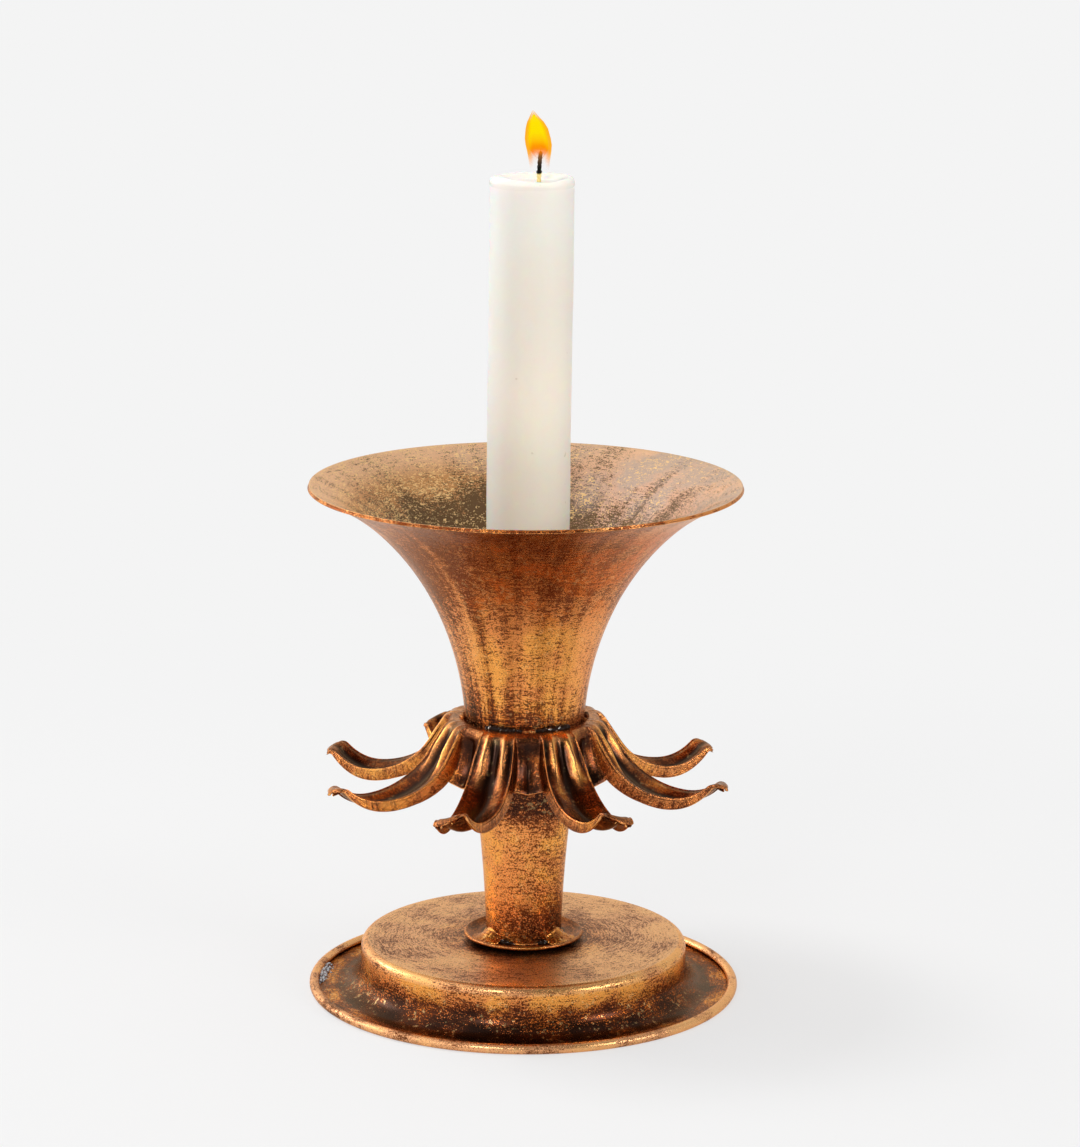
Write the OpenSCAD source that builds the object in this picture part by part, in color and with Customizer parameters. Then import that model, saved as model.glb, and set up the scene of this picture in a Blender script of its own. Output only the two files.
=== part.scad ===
// Candle holder in spun and stamped sheet metal with an aged copper finish:
// a stepped pan, a tapered stem, a trumpet cup and a collar of eight petals.
// Millimetres, +Z up. The origin is on the table, under the middle of the pan.

/* [Pan] */
// Radius over the rolled rim
pan_r = 57.7; // [54:0.1:60]
// Height of the raised plateau
plateau_z = 13.5; // [11:0.1:18]
// Radius of the plateau's wall
plateau_r = 43.7; // [38:0.1:45]
// Outer rounding of the plateau's edge
plateau_edge = 2; // [1.5:0.1:3]
// Rounding between the wall and the saucer
saucer_fillet = 6; // [3:0.1:7]
// Thickness of the rolled rim
rim_bead_d = 2.6; // [2.2:0.1:3.2]
// Thickness of the pan's sheet
pan_sheet = 0.7; // [0.5:0.05:0.8]

/* [Stem] */
// Outer radius at the foot
stem_foot_r = 10.05; // [9.5:0.05:10.5]
// Lean of the wall at the foot, in degrees
stem_lean_foot = 1.6; // [1:0.1:2]
// Lean of the wall part of the way up, in degrees
stem_lean_mid = 5.4; // [5:0.1:6]
// Bending radius of the lower part of the wall
stem_bend = 400; // [380:5:420]
// Height of the stem's upper end, inside the collar
stem_top_z = 68; // [66:0.5:72]
// Thickness of the stem's wall
stem_sheet = 0.8; // [0.6:0.05:0.9]
// Radius of the dished washer under the stem
foot_washer_r = 15.75; // [14:0.05:17]
// Thickness of the dished washer
foot_washer_t = 1; // [0.8:0.1:1.2]

/* [Trumpet cup] */
// Radius of the open rim
cup_r = 57; // [54:0.1:60]
// Height of the open rim
cup_z = 138; // [135:0.1:141]
// Height of the sleeve's lower end, inside the collar
sleeve_z = 61.5; // [60.5:0.1:64]
// Bending radius of the lower flare
flare_bend_low = 82; // [77:1:86]
// Bending radius of the middle flare
flare_bend_mid = 72; // [66:1:74]
// Thickness of the cup's sheet
cup_sheet = 0.7; // [0.5:0.05:0.8]

/* [Petal collar] */
// Number of petals
petals = 8; // [8:1:8]
// Turn of the collar about the stem, in degrees
collar_turn = 2.8; // [-22:0.1:22]
// Height of the flat ring at the top
ring_z = 75; // [74.5:0.1:75.5]
// Radius of the hole for the cup's throat
ring_hole_r = 16.9; // [16.6:0.1:17.2]
// Radius where the ring turns down
ring_r = 19.3; // [19:0.1:19.7]
// Slope of the petals below the shoulder, in degrees
petal_slope = 56; // [53:1:58]
// Height of the petals' crests at their lowest
petal_low_z = 57.8; // [57:0.1:58.5]
// Bending radius of the petals' sweep
sweep_bend = 20.5; // [19:0.5:21.5]
// Bending radius of the petals' rise
rise_bend = 12; // [10:0.5:13]
// Steepest rise of the petals, in degrees
rise_slope = 45; // [40:1:50]
// Bending radius of the rolled tips
tip_bend = 1.8; // [1.7:0.1:2.2]
// Turn of the rolled tips, in degrees
tip_turn = 150; // [120:5:160]
// Half the width between a petal's crests at its widest
crest_half = 5.1; // [4.8:0.1:5.6]
// Half the width between the crests at the shoulder
crest_half_top = 3.4; // [3:0.1:3.8]
// Half the width between the crests at the tip
crest_half_tip = 2.8; // [2.4:0.1:3.2]
// Depth of the trough between the crests
trough_depth = 2; // [1.2:0.1:2.4]
// Depth of the turned-down sides
side_depth = 3.9; // [3.3:0.1:4.1]
// Thickness of the collar's sheet
collar_sheet = 0.7; // [0.5:0.05:0.8]

/* [Candle] */
// Diameter of the candle
candle_d = 22; // [20:0.5:22]
// Height of the candle's top
candle_top_z = 219.5; // [150:0.5:240]
// Height of the seat that the candle stands on
seat_z = 47.5; // [46.5:0.5:56]
// Lean of the candle to the right, in degrees
candle_lean = 0.42; // [0:0.02:0.5]
// Rounding of the candle's upper edge
candle_edge = 1.6; // [1:0.1:3]
// Free length of the wick
wick_l = 8.2; // [5:0.1:10]

/* [Fastening] */
// Diameter of the screw that holds the stem to the pan
screw_d = 4; // [3:0.5:5]

/* [Hidden] */
$fn = 96;

copper = "#9a6136";
dark_copper = "#6b4227";
solder_grey = "#a8a8a4";
steel_grey = "#8c8c88";
wax = "#e9e2d3";
char_black = "#1d1a18";

// A path is walked from a start [x, y, heading] by runs. A run is [turn, size]:
// with turn 0 it is straight and size long, otherwise it bends by turn degrees,
// to the left if positive, on a radius of size.
arc_step = 9;
arc_length = 2.5;
function walk(from, run) =
    let (heading = from[2] + run[0], side = sign(run[0]))
    run[0] == 0
        ? [from[0] + run[1] * cos(heading), from[1] + run[1] * sin(heading), heading]
        : [from[0] + side * run[1] * (sin(heading) - sin(from[2])),
           from[1] - side * run[1] * (cos(heading) - cos(from[2])),
           heading];
function walk_steps(from, run, steps) =
    [for (i = [1 : steps]) walk(from, run[0] == 0 ? [0, run[1] * i / steps] : [run[0] * i / steps, run[1]])];
function steps_of(run) =
    run[0] == 0 ? 1 : max(3, ceil(abs(run[0]) / arc_step), ceil(abs(run[0]) * PI / 180 * run[1] / arc_length));
function path(from, runs, i = 0) =
    i == len(runs)
        ? [from]
        : concat([from], path_rest(walk_steps(from, runs[i], steps_of(runs[i])), runs, i));
function path_rest(steps, runs, i) =
    let (last = len(steps) - 1)
    concat([for (k = [0 : 1 : last - 1]) steps[k]], path(steps[last], runs, i + 1));

// Points beside a path, to its left by d
function beside(points, d) = [for (p = points) [p[0] - d * sin(p[2]), p[1] + d * cos(p[2])]];
function reversed(list) = [for (i = [len(list) - 1 : -1 : 0]) list[i]];
function sheet_outline(points, left, right) = concat(beside(points, left), reversed(beside(points, -right)));

// A ring of sheet metal whose section follows a path
module spun_sheet(points, left, right) {
    rotate_extrude() polygon(sheet_outline(points, left, right));
}

// Pan
screw_hole_r = screw_d / 2 + 0.25;
bead_r = (rim_bead_d - pan_sheet) / 2;
bead_turn = 262;
edge_r = plateau_edge - pan_sheet / 2;
fillet_r = saucer_fillet + pan_sheet / 2;
wall_drop = plateau_z - pan_sheet - edge_r - fillet_r;
pan_path = path([screw_hole_r, plateau_z - pan_sheet / 2, 0], [
    [0, plateau_r - plateau_edge - screw_hole_r],
    [-90, edge_r],
    [0, wall_drop],
    [90, fillet_r],
    [0, pan_r - rim_bead_d / 2 - plateau_r - saucer_fillet],
    [bead_turn, bead_r]]);

module base_pan() {
    color(copper) spun_sheet(pan_path, pan_sheet / 2, pan_sheet / 2);
}

// A run of solder in the corner between the saucer and the rolled rim, on the left.
// It has flowed into both, as the welds further up have into what they join.
solder_r = 0.75;
solder_z = pan_sheet + 0.2;
solder_from = 163;
solder_span = 24;
solder_lumps = 5;
module rim_solder() {
    corner_r = pan_r - rim_bead_d - 0.1;
    color(solder_grey) {
        for (i = [0 : solder_lumps - 1])
            rotate([0, 0, solder_from + solder_span * i / (solder_lumps - 1)])
                translate([corner_r, 0, solder_z]) sphere(r = solder_r + 0.08 * cos(200 * i), $fn = 24);
        rotate([0, 0, solder_from]) rotate_extrude(angle = solder_span)
            translate([corner_r, solder_z]) circle(r = solder_r * 0.75, $fn = 24);
    }
}

// Dished washer under the stem
dish_start = 12.6;
dish_turn = 30;
dish_bend = 4;
dish_edge = (foot_washer_r - dish_start - dish_bend * sin(dish_turn) - foot_washer_t / 2 * sin(dish_turn))
    / cos(dish_turn);
washer_path = path([screw_hole_r, plateau_z + foot_washer_t / 2, 0], [
    [0, dish_start - screw_hole_r],
    [dish_turn, dish_bend],
    [0, dish_edge]]);
washer_top = plateau_z + foot_washer_t;

module foot_washer() {
    color(dark_copper) spun_sheet(washer_path, foot_washer_t / 2, foot_washer_t / 2);
}

// Stem: its outer surface leans out little by little
stem_start = [stem_foot_r, washer_top, 90 - stem_lean_foot];
stem_low = walk(stem_start, [stem_lean_foot - stem_lean_mid, stem_bend]);
throat_lean = 6.4;
throat_bend = 2190;
function wall_turn(z) = // turn needed, on the upper bend, to reach a height
    asin((z - stem_low[1]) / throat_bend + sin(stem_lean_mid)) - stem_lean_mid;
stem_path = path(stem_start, [
    [stem_lean_foot - stem_lean_mid, stem_bend],
    [-wall_turn(stem_top_z), throat_bend]]);
function stem_r(z) = walk(stem_low, [-wall_turn(z), throat_bend])[0];

module stem_tube() {
    color(copper) spun_sheet(stem_path, stem_sheet, 0);
}

// Three beads of weld between the stem and its washer. Each is a rounded corner
// fillet that is built up in slices, the longest the smallest, so its ends taper.
weld_size = 3.4;
weld_root = 0.4;
weld_slices = [[1, 0.5], [0.8, 0.78], [0.5, 1]]; // size, and share of the bead's span
welds = [[222, 44], [318, 40], [90, 36]]; // direction of the bead's middle, and its span
module weld_slice(size) {
    low = washer_top - weld_root;
    inner = stem_foot_r - weld_root;
    polygon(concat(
        [[inner, low], [stem_foot_r + size, low]],
        [for (a = [0 : 18 : 90]) [stem_foot_r + size * (1 - 0.62 * sin(a)), washer_top + size * (1 - cos(a)) * 0.62]],
        [[stem_foot_r + 0.15 * size, washer_top + size], [inner, washer_top + size]]));
}
module foot_weld() {
    color(dark_copper) for (w = welds) for (slice = weld_slices)
        rotate([0, 0, w[0] - w[1] * slice[1] / 2]) rotate_extrude(angle = w[1] * slice[1])
            weld_slice(weld_size * slice[0]);
}

// Screw from beneath, its washer, and the nut fixed inside the stem's foot
nut_flats = 7;
nut_h = 3.2;
under_z = plateau_z - pan_sheet;
screw_washer_t = 0.8;
screw_head_h = 2.4;
screw_tip_z = washer_top + nut_h + 1.8;
module foot_nut() {
    color(steel_grey) difference() {
        translate([0, 0, washer_top]) cylinder(d = nut_flats / cos(30), h = nut_h, $fn = 6);
        translate([0, 0, washer_top - 1]) cylinder(d = screw_d, h = nut_h + 2);
    }
}
module screw_washer() {
    color(steel_grey) translate([0, 0, under_z - screw_washer_t]) difference() {
        cylinder(r = screw_d * 1.15, h = screw_washer_t);
        translate([0, 0, -1]) cylinder(r = screw_hole_r, h = screw_washer_t + 2);
    }
}
module base_screw() {
    head_r = screw_d * 0.95;
    head_z = under_z - screw_washer_t;
    slot_w = 0.9;
    color(steel_grey) difference() {
        rotate_extrude() polygon(concat(
            [[0, head_z - screw_head_h]],
            [for (a = [0 : 15 : 75]) [head_r - 1.4 + 1.4 * sin(a), head_z - screw_head_h + 1.4 * (1 - cos(a))]],
            [[head_r, head_z - screw_head_h + 1.4], [head_r, head_z], [screw_d / 2, head_z],
             [screw_d / 2, screw_tip_z - 0.6], [screw_d / 2 - 0.6, screw_tip_z], [0, screw_tip_z]]));
        translate([0, 0, head_z - screw_head_h + 0.3])
            cube([slot_w, 3 * head_r, 1.8], center = true);
    }
}

// Seat: a small cap pressed into the stem, which the candle stands on
seat_sheet = 0.6;
seat_bend = 1.2;
seat_skirt = 3.2;
seat_wall_r = stem_r(seat_z - 3) - stem_sheet / cos(stem_lean_mid);
seat_path = path([1.5, seat_z - seat_sheet / 2, 0], [
    [0, seat_wall_r - seat_sheet / 2 - seat_bend - 1.5],
    [-90 - stem_lean_mid, seat_bend],
    [0, seat_skirt]]);
module candle_seat() {
    color(dark_copper) spun_sheet(seat_path, seat_sheet / 2, seat_sheet / 2);
}

// Trumpet cup: a sleeve over the stem's end, then three bends that open ever faster
sleeve_start = walk(stem_low, [-wall_turn(sleeve_z), throat_bend]);
throat_turn = 90 - throat_lean - sleeve_start[2];
throat = walk(sleeve_start, [throat_turn, throat_bend]);
flare_lean_low = 25.6;
flare_lean_mid = 47.2;
flare_low = walk(throat, [throat_lean - flare_lean_low, flare_bend_low]);
flare_mid = walk(flare_low, [flare_lean_low - flare_lean_mid, flare_bend_mid]);
// The last bend ends on the rim: its chord gives its turn, and then its radius
rim_dr = cup_r - flare_mid[0];
rim_dz = cup_z - flare_mid[1];
rim_turn = 2 * (atan2(rim_dr, rim_dz) - flare_lean_mid);
rim_bend = norm([rim_dr, rim_dz]) / (2 * sin(rim_turn / 2));
cup_path = path(sleeve_start, [
    [throat_turn, throat_bend],
    [throat_lean - flare_lean_low, flare_bend_low],
    [flare_lean_low - flare_lean_mid, flare_bend_mid],
    [-rim_turn, rim_bend]]);

module flared_cup() {
    color(copper) spun_sheet(cup_path, 0, cup_sheet);
}

// Petal collar: one stamped sheet. Every petal is a path from the ring's hole over
// the shoulder, down, out, up and over, and a section across that path: a trough
// between two crests, and sides turned down to the webs between the petals.
shoulder_bend = 3.6;
shoulder_end = walk([ring_r, ring_z, 0], [-petal_slope, shoulder_bend]);
slope_end_z = petal_low_z + sweep_bend * (1 - cos(petal_slope));
slope_run = (shoulder_end[1] - slope_end_z) / sin(petal_slope);
petal_runs = [
    [0, ring_r - ring_hole_r, 1],
    [-petal_slope, shoulder_bend, 3],
    [0, slope_run, 2],
    [petal_slope, sweep_bend, 6],
    [rise_slope, rise_bend, 4],
    [-tip_turn, tip_bend, 5]];
function petal_rows(from, i = 0) =
    i == len(petal_runs)
        ? []
        : let (steps = walk_steps(from, petal_runs[i], petal_runs[i][2]))
          concat(steps, petal_rows(steps[len(steps) - 1], i + 1));
rows = concat([[ring_hole_r, ring_z, 0]], petal_rows([ring_hole_r, ring_z, 0]));
last_row = len(rows) - 1;
web_row = 7;
sector = 360 / petals;

// Distance walked from the ring's edge to each row
function gone(i) = i < 2 ? 0 : gone(i - 1) + norm([rows[i][0] - rows[i - 1][0], rows[i][1] - rows[i - 1][1]]);
whole = gone(last_row);
grow_len = 13;
fade_from = 28.5;
function grown(i) = sin(90 * min(1, gone(i) / grow_len));
function faded(i, least) =
    gone(i) < fade_from ? 1 : 1 - (1 - least) * (1 - cos(180 * (gone(i) - fade_from) / (whole - fade_from))) / 2;

widest_at = 19.5;
function half_width(i) =
    gone(i) < widest_at
        ? crest_half_top + (crest_half - crest_half_top) * sin(90 * gone(i) / widest_at)
        : crest_half_tip + (crest_half - crest_half_tip)
            * (1 + cos(180 * (gone(i) - widest_at) / (whole - widest_at))) / 2;

// Columns across a petal: the middle of a web, the foot and top of a side, the crest,
// and the trough, then the same again in mirror image
trough_stops = [0.85, 0.6, 0.3, 0];
columns = 15;
middle = 7;
function column_kind(j) = j <= middle ? j : columns - 1 - j;
function column_side(j) = j < middle ? -1 : j > middle ? 1 : 0;
function trough_at(k) = trough_stops[k - 4];
function across(i, j) =
    let (k = column_kind(j), w = half_width(i))
    column_side(j) * (k == 1 ? w + 1.35 : k == 2 ? w + 0.95 : k == 3 ? w + 0.25 : w * trough_at(k));
web_extra = 1.7;
function lift(i, j) =
    let (k = column_kind(j))
    k == 0 ? -(side_depth + web_extra) * grown(i)
    : k == 1 ? -side_depth * grown(i) * faded(i, 0.3)
    : k == 2 ? -0.55 * grown(i) * faded(i, 0.6)
    : k == 3 ? 0
    : -trough_depth * cos(90 * trough_at(k)) * grown(i) * faded(i, 0.3);

// Radius, height and direction of a point of the upper face, then the point itself
function polar(i, j) =
    let (row = rows[i], d = lift(i, j), r = row[0] - d * sin(row[2]), k = column_kind(j))
    [r, row[1] + d * cos(row[2]), k == 0 ? column_side(j) * sector / 2 : across(i, j) / r * 180 / PI];
function upper(i, j) = let (p = polar(i, j)) [p[0] * cos(p[2]), p[0] * sin(p[2]), p[1]];
function unit(v) = v / norm(v);
function normal(i, j) =
    let (i0 = max(0, i - 1), i1 = min(last_row, i + 1))
    column_kind(j) == 0
        ? let (a = polar(i0, j), b = polar(i1, j), dir = polar(i, j)[2], n = unit([a[1] - b[1], b[0] - a[0]]))
          [n[0] * cos(dir), n[0] * sin(dir), n[1]]
        : let (j0 = i > web_row ? max(1, j - 1) : j - 1, j1 = i > web_row ? min(columns - 2, j + 1) : j + 1)
          unit(cross(upper(i1, j) - upper(i0, j), upper(i, j1) - upper(i, j0)));
function lower(i, j) = upper(i, j) - collar_sheet * normal(i, j);
function turned(p, a) = [p[0] * cos(a) - p[1] * sin(a), p[0] * sin(a) + p[1] * cos(a), p[2]];

// Points in order of petal, row, column and face. The last column of a petal is the
// first of the next. Below the webs the middle of a web has no point of its own.
sheet_columns = columns - 1;
row_points = sheet_columns * 2;
petal_points = row_points * (last_row + 1);
collar_points = [
    for (s = [0 : petals - 1]) for (i = [0 : last_row]) for (j = [0 : sheet_columns - 1]) for (f = [0, 1])
        let (row = j == 0 ? min(i, web_row) : i)
        turned(f == 0 ? upper(row, j) : lower(row, j), (s + 0.5) * sector + collar_turn)];
function index(s, i, j, f) =
    ((j == sheet_columns ? s + 1 : s) % petals) * petal_points + i * row_points + (j % sheet_columns) * 2 + f;
function quad(a, b, c, d) = [[a, b, c], [a, c, d]];
function is_web(j) = j == 0 || j == sheet_columns - 1;
collar_faces = [
    for (s = [0 : petals - 1]) each concat(
        [for (i = [0 : last_row - 1]) for (j = [0 : sheet_columns - 1]) if (i < web_row || !is_web(j)) each concat(
            quad(index(s, i, j, 0), index(s, i, j + 1, 0), index(s, i + 1, j + 1, 0), index(s, i + 1, j, 0)),
            quad(index(s, i, j, 1), index(s, i + 1, j, 1), index(s, i + 1, j + 1, 1), index(s, i, j + 1, 1)))],
        [for (j = [0 : sheet_columns - 1])
            each quad(index(s, 0, j, 0), index(s, 0, j, 1), index(s, 0, j + 1, 1), index(s, 0, j + 1, 0))],
        [for (j = [0, sheet_columns - 1]) each quad(index(s, web_row, j, 0), index(s, web_row, j + 1, 0),
            index(s, web_row, j + 1, 1), index(s, web_row, j, 1))],
        [for (j = [1 : sheet_columns - 2]) each quad(index(s, last_row, j, 0), index(s, last_row, j + 1, 0),
            index(s, last_row, j + 1, 1), index(s, last_row, j, 1))],
        [for (i = [web_row : last_row - 1]) each concat(
            quad(index(s, i, 1, 0), index(s, i + 1, 1, 0), index(s, i + 1, 1, 1), index(s, i, 1, 1)),
            quad(index(s, i, sheet_columns - 1, 0), index(s, i, sheet_columns - 1, 1),
                index(s, i + 1, sheet_columns - 1, 1), index(s, i + 1, sheet_columns - 1, 0)))])];

module petal_collar() {
    color(copper) polyhedron(points = collar_points, faces = collar_faces, convexity = 8);
}

// Four tacks of weld in the gap between the cup's throat and the collar
tack_r = 1.25;
tack_directions = [-86, 6, 96, 184];
module collar_tacks() {
    color(copper) for (a = tack_directions)
        rotate([0, 0, a]) translate([ring_hole_r - 0.5, 0, ring_z - 0.2]) sphere(r = tack_r, $fn = 32);
}

// Candle and wick, standing on the seat and leaning a little
candle_r = candle_d / 2;
candle_h = candle_top_z - seat_z;
pool_r = 7.5;
pool_d = 1.6;
module as_candle_stands() {
    translate([0, 0, seat_z]) rotate([0, candle_lean, 0]) children();
}
module candle() {
    pool_curve = (pool_r * pool_r + pool_d * pool_d) / (2 * pool_d);
    pool_half = asin(pool_r / pool_curve);
    color(wax) as_candle_stands() rotate_extrude() polygon(concat(
        [[0, 0.1], [candle_r - 0.5, 0.1], [candle_r, 0.6]],
        [for (a = [0 : 15 : 90])
            [candle_r - candle_edge * (1 - cos(a)), candle_h - candle_edge * (1 - sin(a))]],
        [for (a = [pool_half : -pool_half / 4 : 0])
            [pool_curve * sin(a), candle_h - pool_d + pool_curve * (1 - cos(a))]]));
}

wick_r = 0.55;
wick_bend = 80;
wick_offset = 1.7;
module wick() {
    turn = wick_l / wick_bend * 180 / PI;
    color(char_black) as_candle_stands() translate([wick_offset, 0, candle_h - pool_d])
        translate([wick_bend, 0, 0]) rotate([90, 0, 180])
            rotate_extrude(angle = turn) translate([wick_bend, 0]) circle(r = wick_r, $fn = 24);
}

base_pan();
rim_solder();
foot_washer();
foot_weld();
foot_nut();
base_screw();
screw_washer();
stem_tube();
candle_seat();
flared_cup();
petal_collar();
collar_tacks();
candle();
wick();
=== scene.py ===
from math import asin, atan2, ceil, copysign, cos, degrees, exp, hypot, pi, radians, sin, sqrt
from types import SimpleNamespace

import bmesh
import bpy
import numpy as np
from mathutils import Matrix, Vector


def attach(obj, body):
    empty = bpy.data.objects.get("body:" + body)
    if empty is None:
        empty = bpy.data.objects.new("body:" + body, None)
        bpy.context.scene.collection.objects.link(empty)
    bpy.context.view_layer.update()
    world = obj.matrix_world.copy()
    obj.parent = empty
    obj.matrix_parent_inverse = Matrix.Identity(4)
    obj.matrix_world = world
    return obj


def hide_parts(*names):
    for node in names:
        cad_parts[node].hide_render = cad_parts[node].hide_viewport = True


bl_info = {
    "name": "Candle holder",
    "version": (1, 0, 0),
    "blender": (4, 5, 0),
    "location": "3D View > Sidebar > Candle holder",
    "description": "Spun and stamped copper candle holder with a lit candle",
    "category": "Add Mesh",
}

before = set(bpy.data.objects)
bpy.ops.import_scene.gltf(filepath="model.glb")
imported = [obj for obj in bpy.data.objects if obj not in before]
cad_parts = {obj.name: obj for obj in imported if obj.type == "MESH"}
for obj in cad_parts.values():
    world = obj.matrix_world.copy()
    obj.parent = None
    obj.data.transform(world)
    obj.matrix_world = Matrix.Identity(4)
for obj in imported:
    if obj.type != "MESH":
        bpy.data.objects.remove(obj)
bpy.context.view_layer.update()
MM = 0.001
SCREW_HOLE_R = 2.25


def linear(*levels):
    """A screen colour from 0 to 255 as the linear values that Blender works in."""
    shares = [level / 255 for level in levels]
    return tuple(v / 12.92 if v <= 0.04045 else ((v + 0.055) / 1.055) ** 2.4 for v in shares)


def held(value):
    """The number kept between 0 and 1."""
    return min(1.0, max(0.0, value))


# Settings

def length(name, description, default):
    return bpy.props.FloatProperty(
        name=name, description=description, default=default * MM, min=0, precision=5, unit="LENGTH", subtype="DISTANCE")


def angle(name, description, default):
    return bpy.props.FloatProperty(
        name=name, description=description, default=radians(default), unit="ROTATION", subtype="ANGLE")


def colour(name, description, default):
    return bpy.props.FloatVectorProperty(
        name=name, description=description, default=linear(*default), size=3, min=0, max=1, subtype="COLOR")


def share(name, description, default):
    return bpy.props.FloatProperty(
        name=name, description=description, default=default, min=0, max=1, subtype="FACTOR")


class HolderSizes(bpy.types.PropertyGroup):
    """Sizes of the pieces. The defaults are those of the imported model."""
    pan_r: length("Pan radius", "Radius over the rolled rim", 57.7)
    plateau_z: length("Plateau height", "Height of the raised plateau", 13.5)
    plateau_r: length("Plateau radius", "Radius of the plateau's wall", 43.7)
    plateau_edge: length("Plateau edge", "Outer rounding of the plateau's edge", 2)
    saucer_fillet: length("Saucer fillet", "Rounding between the wall and the saucer", 6)
    bead_d: length("Rolled rim", "Thickness of the rolled rim", 2.6)
    sheet: length("Sheet", "Thickness of the pan, the cup and the collar", 0.7)
    stem_foot_r: length("Stem foot radius", "Outer radius at the foot", 10.05)
    stem_sheet: length("Stem wall", "Thickness of the stem's wall", 0.8)
    stem_top_z: length("Stem top", "Height of the stem's upper end", 68)
    washer_r: length("Foot washer radius", "Radius of the dished washer", 15.75)
    washer_t: length("Foot washer thickness", "Thickness of the dished washer", 1)
    cup_r: length("Cup radius", "Radius of the open rim", 57)
    cup_z: length("Cup height", "Height of the open rim", 138)
    sleeve_z: length("Sleeve end", "Height of the cup's lower end", 61.5)
    petals: bpy.props.IntProperty(name="Petals", description="Number of petals", default=8, min=3)
    collar_turn: angle("Collar turn", "Turn of the collar about the stem", 2.8)
    ring_z: length("Ring height", "Height of the collar's flat ring", 75)
    ring_hole_r: length("Ring hole", "Radius of the hole for the cup's throat", 16.9)
    ring_r: length("Ring radius", "Radius where the ring turns down", 19.3)
    hand_bend: length("Hand bend", "How far the petals are bent out of line", 0.5)
    tip_lean: share("Tip lean", "How far the petals' tips lean down to the sides", 0.5)
    candle_r: length("Candle radius", "Radius of the candle", 11)
    candle_z: length("Candle top", "Height of the candle's top", 219.5)
    seat_z: length("Seat height", "Height of the seat that the candle stands on", 47.5)
    candle_lean: angle("Candle lean", "Lean of the candle to the right", 0.42)
    wick_l: length("Wick length", "Free length of the wick", 8.2)


class HolderFinish(bpy.types.PropertyGroup):
    """Colours and finishes."""
    bright: colour("Bright copper", "Copper on rubbed edges", (255, 216, 150))
    rubbed: colour("Rubbed copper", "Copper where the patina is thin", (250, 172, 82))
    rosy: colour("Rosy copper", "Bare copper where the gilt is gone", (234, 144, 86))
    pale: colour("Pale copper", "Copper where the lacquer is dull", (248, 204, 160))
    body: colour("Toned copper", "Copper under an even patina", (200, 108, 42))
    patina: colour("Patina", "Red-brown patina", (112, 52, 20))
    dark: colour("Dark patina", "Patina in hollows and pits", (38, 17, 8))
    solder: colour("Solder", "Dull solder", (188, 192, 196))
    steel: colour("Zinc steel", "Zinc plated steel", (150, 150, 146))
    wax: colour("Wax", "Candle wax", (250, 244, 229))
    # Painted shade: the wax is dimmer high on the side
    wax_dim: colour("Dim wax", "Candle wax high on the side", (233, 228, 216))
    # Painted light: the wax is lighter near the flame and on the left
    wax_light: colour("Light wax", "Candle wax near the flame", (234, 236, 230))
    floor: colour("Floor", "Floor and backdrop", (244, 244, 244))
    rough: share("Copper roughness", "Roughness of the rubbed copper", 0.24)


def own_props(group):
    return [prop for prop in group.bl_rna.properties if prop.identifier not in ("rna_type", "name")]


def settings(context):
    """The sizes, with lengths in mm and angles in degrees, and the finish."""
    sizes, read = SimpleNamespace(), {"LENGTH": lambda value: value / MM, "ROTATION": degrees}
    for prop in own_props(context.scene.holder_sizes):
        value = getattr(context.scene.holder_sizes, prop.identifier)
        setattr(sizes, prop.identifier, read[prop.unit](value) if prop.unit in read else value)
    return sizes, context.scene.holder_finish


# Node trees

def arithmetic(operation, swapped=False):
    def method(wire, other):
        return wire.graph.math(operation, *((other, wire) if swapped else (wire, other)))
    return method


class Wire:
    """An output socket. Arithmetic on it adds Math nodes to its tree."""
    __add__, __radd__ = arithmetic("ADD"), arithmetic("ADD", True)
    __sub__, __rsub__ = arithmetic("SUBTRACT"), arithmetic("SUBTRACT", True)
    __mul__, __rmul__ = arithmetic("MULTIPLY"), arithmetic("MULTIPLY", True)
    __truediv__, __rtruediv__ = arithmetic("DIVIDE"), arithmetic("DIVIDE", True)
    __pow__ = arithmetic("POWER")

    def __init__(self, graph, socket):
        self.graph, self.socket = graph, socket

    def math(self, operation, *others):
        return self.graph.math(operation, self, *others)

    def held(self):
        """The value kept between 0 and 1."""
        return self.graph.math("ADD", self, 0, clamp=True)

    def between(self, low, high, out_low=0, out_high=1):
        """Goes softly from out_low to out_high as the value goes from low to high."""
        return self.graph.node("ShaderNodeMapRange", {0: self, 1: low, 2: high, 3: out_low, 4: out_high},
                               interpolation_type="SMOOTHSTEP")


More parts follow.
